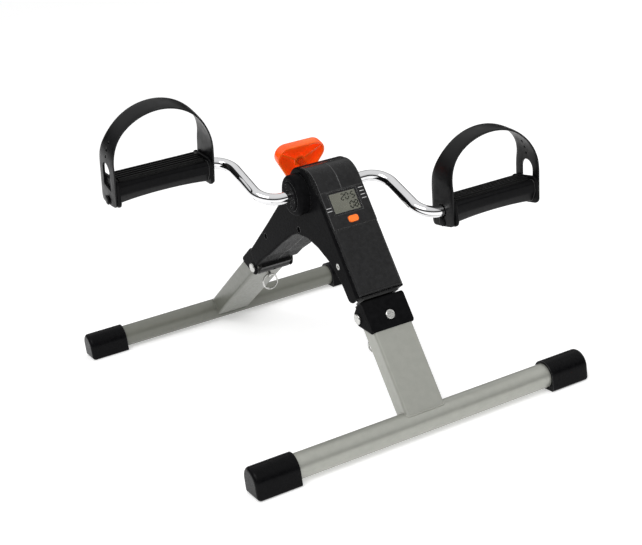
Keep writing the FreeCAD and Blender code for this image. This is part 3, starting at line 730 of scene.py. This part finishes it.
def make_display():
    bm = bmesh.new()
    for char, x, w, size in (("2", -4.2, 115.2, 6.4), ("0", 0.7, 115.2, 6.4), ("5", 7.4, 115.2, 6.4),
                             ("0", 2.8, 105.2, 6.8), ("8", 8.0, 105.2, 6.8)):
        digit(bm, char, x, w, size, LCD_FACE)
    for w in (116.8, 119.4):
        bar_mark(bm, 5.6, 6.4, w, w + 0.9, LCD_FACE)
    piece("lcd_segments", bm, "lcd_glass", "housing", material=SEGMENT_INK)

    bm = bmesh.new()
    for x0, length, rows in ((-24.1, 5.4, (106.6, 109.8)), (17.4, 5.0, (111.6, 115.4, 119.2, 123.0))):
        for w in rows:
            bar_mark(bm, x0, x0 + length, w, w + 0.55, CASE_FACE, 0.06)
    piece("display_ticks", bm, "case_plastic", "housing", material=PRINT_INK)


# ------------------------------------------------------------ rings, welds
def make_pull_ring(side, body):
    low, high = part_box(side + "_pull_ring")
    centre = (low + high) / 2 / MM
    bm = bmesh.new()
    rings = []
    steps = 72
    for k in range(steps):
        angle = 2 * math.pi * k / steps
        out = Vector((math.cos(angle), 0, math.sin(angle)))
        ring = []
        for j in range(18):
            around = 2 * math.pi * j / 18
            ring.append(centre + out * (RING_RADIUS + RING_WIRE * math.cos(around))
                        + Vector((0, RING_WIRE * math.sin(around), 0)))
        rings.append(ring)
    ring_stack(bm, rings, closed_path=True)
    piece(side + "_split_ring", bm, "zinc_steel", body, [side + "_pull_ring"], 60)


def make_weld(side):
    """Fillet bead where the leg tube is coped onto the floor bar."""
    drop = LEGS[side][2]
    outline = rounded([(-22, -18), (22, -18), (22, 4), (-22, 4)], 3.0, 6)
    dense = []
    for i, point in enumerate(outline):
        following = outline[(i + 1) % len(outline)]
        parts = max(1, int((following - point).length / 1.2))
        dense += [point.lerp(following, k / parts) for k in range(parts)]
    path = []
    for point in dense:
        across = min(WELD_RADIUS - 0.1, abs(point.y + PIN_OFFSET))
        path.append((point.x, point.y, -drop + math.sqrt(WELD_RADIUS ** 2 - across ** 2)))
    rings = []
    for i, (x, u, w) in enumerate(path):
        y, z = leg_point(side, u, w)
        before = path[i - 1]
        after = path[(i + 1) % len(path)]
        a = Vector((before[0], *leg_point(side, before[1], before[2])))
        b = Vector((after[0], *leg_point(side, after[1], after[2])))
        tangent = (b - a).normalized()
        out = Vector((x, *leg_point(side, u, w))) - Vector((0, *leg_point(side, -PIN_OFFSET, w)))
        out = (out - tangent * out.dot(tangent)).normalized()
        other = tangent.cross(out).normalized()
        size = 0.85 + 0.12 * math.sin(i * 1.9)
        angles = [2 * math.pi * k / 10 for k in range(10)]
        rings.append([Vector((x, y, z)) + (out * math.cos(a) + other * math.sin(a)) * size for a in angles])
    bm = bmesh.new()
    ring_stack(bm, rings, closed_path=True)
    piece(side + "_weld_bead", bm, side + "_tube", side + "_leg", smooth=80)


make_crank()
for pedal in ("left", "right"):
    make_pedal(pedal)
    make_strap(pedal)
make_knob()
make_display()
for side in LEGS:
    make_pull_ring(side, side + "_ring")
    make_weld(side)


# ----------------------------------------------------- floor, light, camera
FLOOR_GLOW = 0.42
SKY_STRENGTH = 0.86
# Height in the sky, 0 to 1, and its brightness there.
SKY_STOPS = ((0.0, 0.03), (0.30, 0.03), (0.46, 0.62), (0.60, 0.92), (1.0, 1.0))
# Azimuth, elevation and roll in degrees, place in metres, lens in mm.
CAMERA_TURN = (-25.8, 18.4, -8.1)
CAMERA_PLACE = (-0.57707, -1.24287, 0.56503)
CAMERA_LENS = 73.16


def make_floor():
    bm = bmesh.new()
    bmesh.ops.create_grid(bm, x_segments=8, y_segments=8, size=14)
    mesh = bpy.data.meshes.new("studio_floor")
    bm.to_mesh(mesh)
    bm.free()
    paper = Shader("studio_paper", (0.86, 0.86, 0.86), 0.9)
    paper.mottle(2, 0.995, 1.0).grain(400, 0.02, 0.1)
    paper.bsdf.inputs["Emission Color"].default_value = (1, 1, 1, 1)
    paper.set("Emission Strength", FLOOR_GLOW)
    mesh.materials.append(paper.mat)
    floor = bpy.data.objects.new("studio_floor", mesh)
    floor.location.z = -0.0002
    bpy.context.scene.collection.objects.link(floor)


def softbox(name, place, target, size, power, color=(1, 1, 1)):
    lamp = bpy.data.lights.new(name, "AREA")
    lamp.shape = "RECTANGLE"
    lamp.size, lamp.size_y = size
    lamp.energy = power
    lamp.color = color
    obj = bpy.data.objects.new(name, lamp)
    obj.location = place
    obj.rotation_euler = (Vector(target) - Vector(place)).to_track_quat("-Z", "Y").to_euler()
    bpy.context.scene.collection.objects.link(obj)


def make_world():
    world = bpy.data.worlds.new("studio")
    bpy.context.scene.world = world
    world.use_nodes = True
    nodes, links = world.node_tree.nodes, world.node_tree.links
    coords = nodes.new("ShaderNodeTexCoord")
    split = nodes.new("ShaderNodeSeparateXYZ")
    ramp = nodes.new("ShaderNodeValToRGB")
    ramp.color_ramp.elements[0].position = SKY_STOPS[0][0]
    ramp.color_ramp.elements[1].position = SKY_STOPS[-1][0]
    for position, level in SKY_STOPS[1:-1]:
        ramp.color_ramp.elements.new(position)
    for element, (position, level) in zip(ramp.color_ramp.elements, SKY_STOPS):
        element.color = (level, level, level, 1)
    links.new(coords.outputs["Generated"], split.inputs[0])
    links.new(split.outputs["Z"], ramp.inputs["Fac"])
    links.new(ramp.outputs["Color"], nodes["Background"].inputs["Color"])
    nodes["Background"].inputs["Strength"].default_value = SKY_STRENGTH


def make_camera():
    azimuth, elevation, roll = (math.radians(angle) for angle in CAMERA_TURN)
    level = math.cos(elevation)
    back = Vector((math.sin(azimuth) * level, -math.cos(azimuth) * level, math.sin(elevation)))
    right = (-back).cross(Vector((0, 0, 1))).normalized()
    up = right.cross(-back)
    x_axis = right * math.cos(roll) + up * math.sin(roll)
    y_axis = -right * math.sin(roll) + up * math.cos(roll)
    camera = bpy.data.cameras.new("camera")
    camera.sensor_width = 36
    camera.lens = CAMERA_LENS
    camera.clip_end = 50
    obj = bpy.data.objects.new("camera", camera)
    turn = Matrix((x_axis, y_axis, back)).transposed().to_4x4()
    obj.matrix_world = Matrix.Translation(Vector(CAMERA_PLACE)) @ turn
    bpy.context.scene.collection.objects.link(obj)
    bpy.context.scene.camera = obj


make_floor()
make_world()
softbox("key", (-1.3, -1.2, 2.2), (0, 0, 0.1), (1.5, 1.2), 26)
softbox("side", (2.2, -0.4, 1.3), (0, 0, 0.15), (0.9, 1.4), 8)
make_camera()
view = bpy.context.scene.view_settings
view.view_transform = "Standard"
view.look = "None"
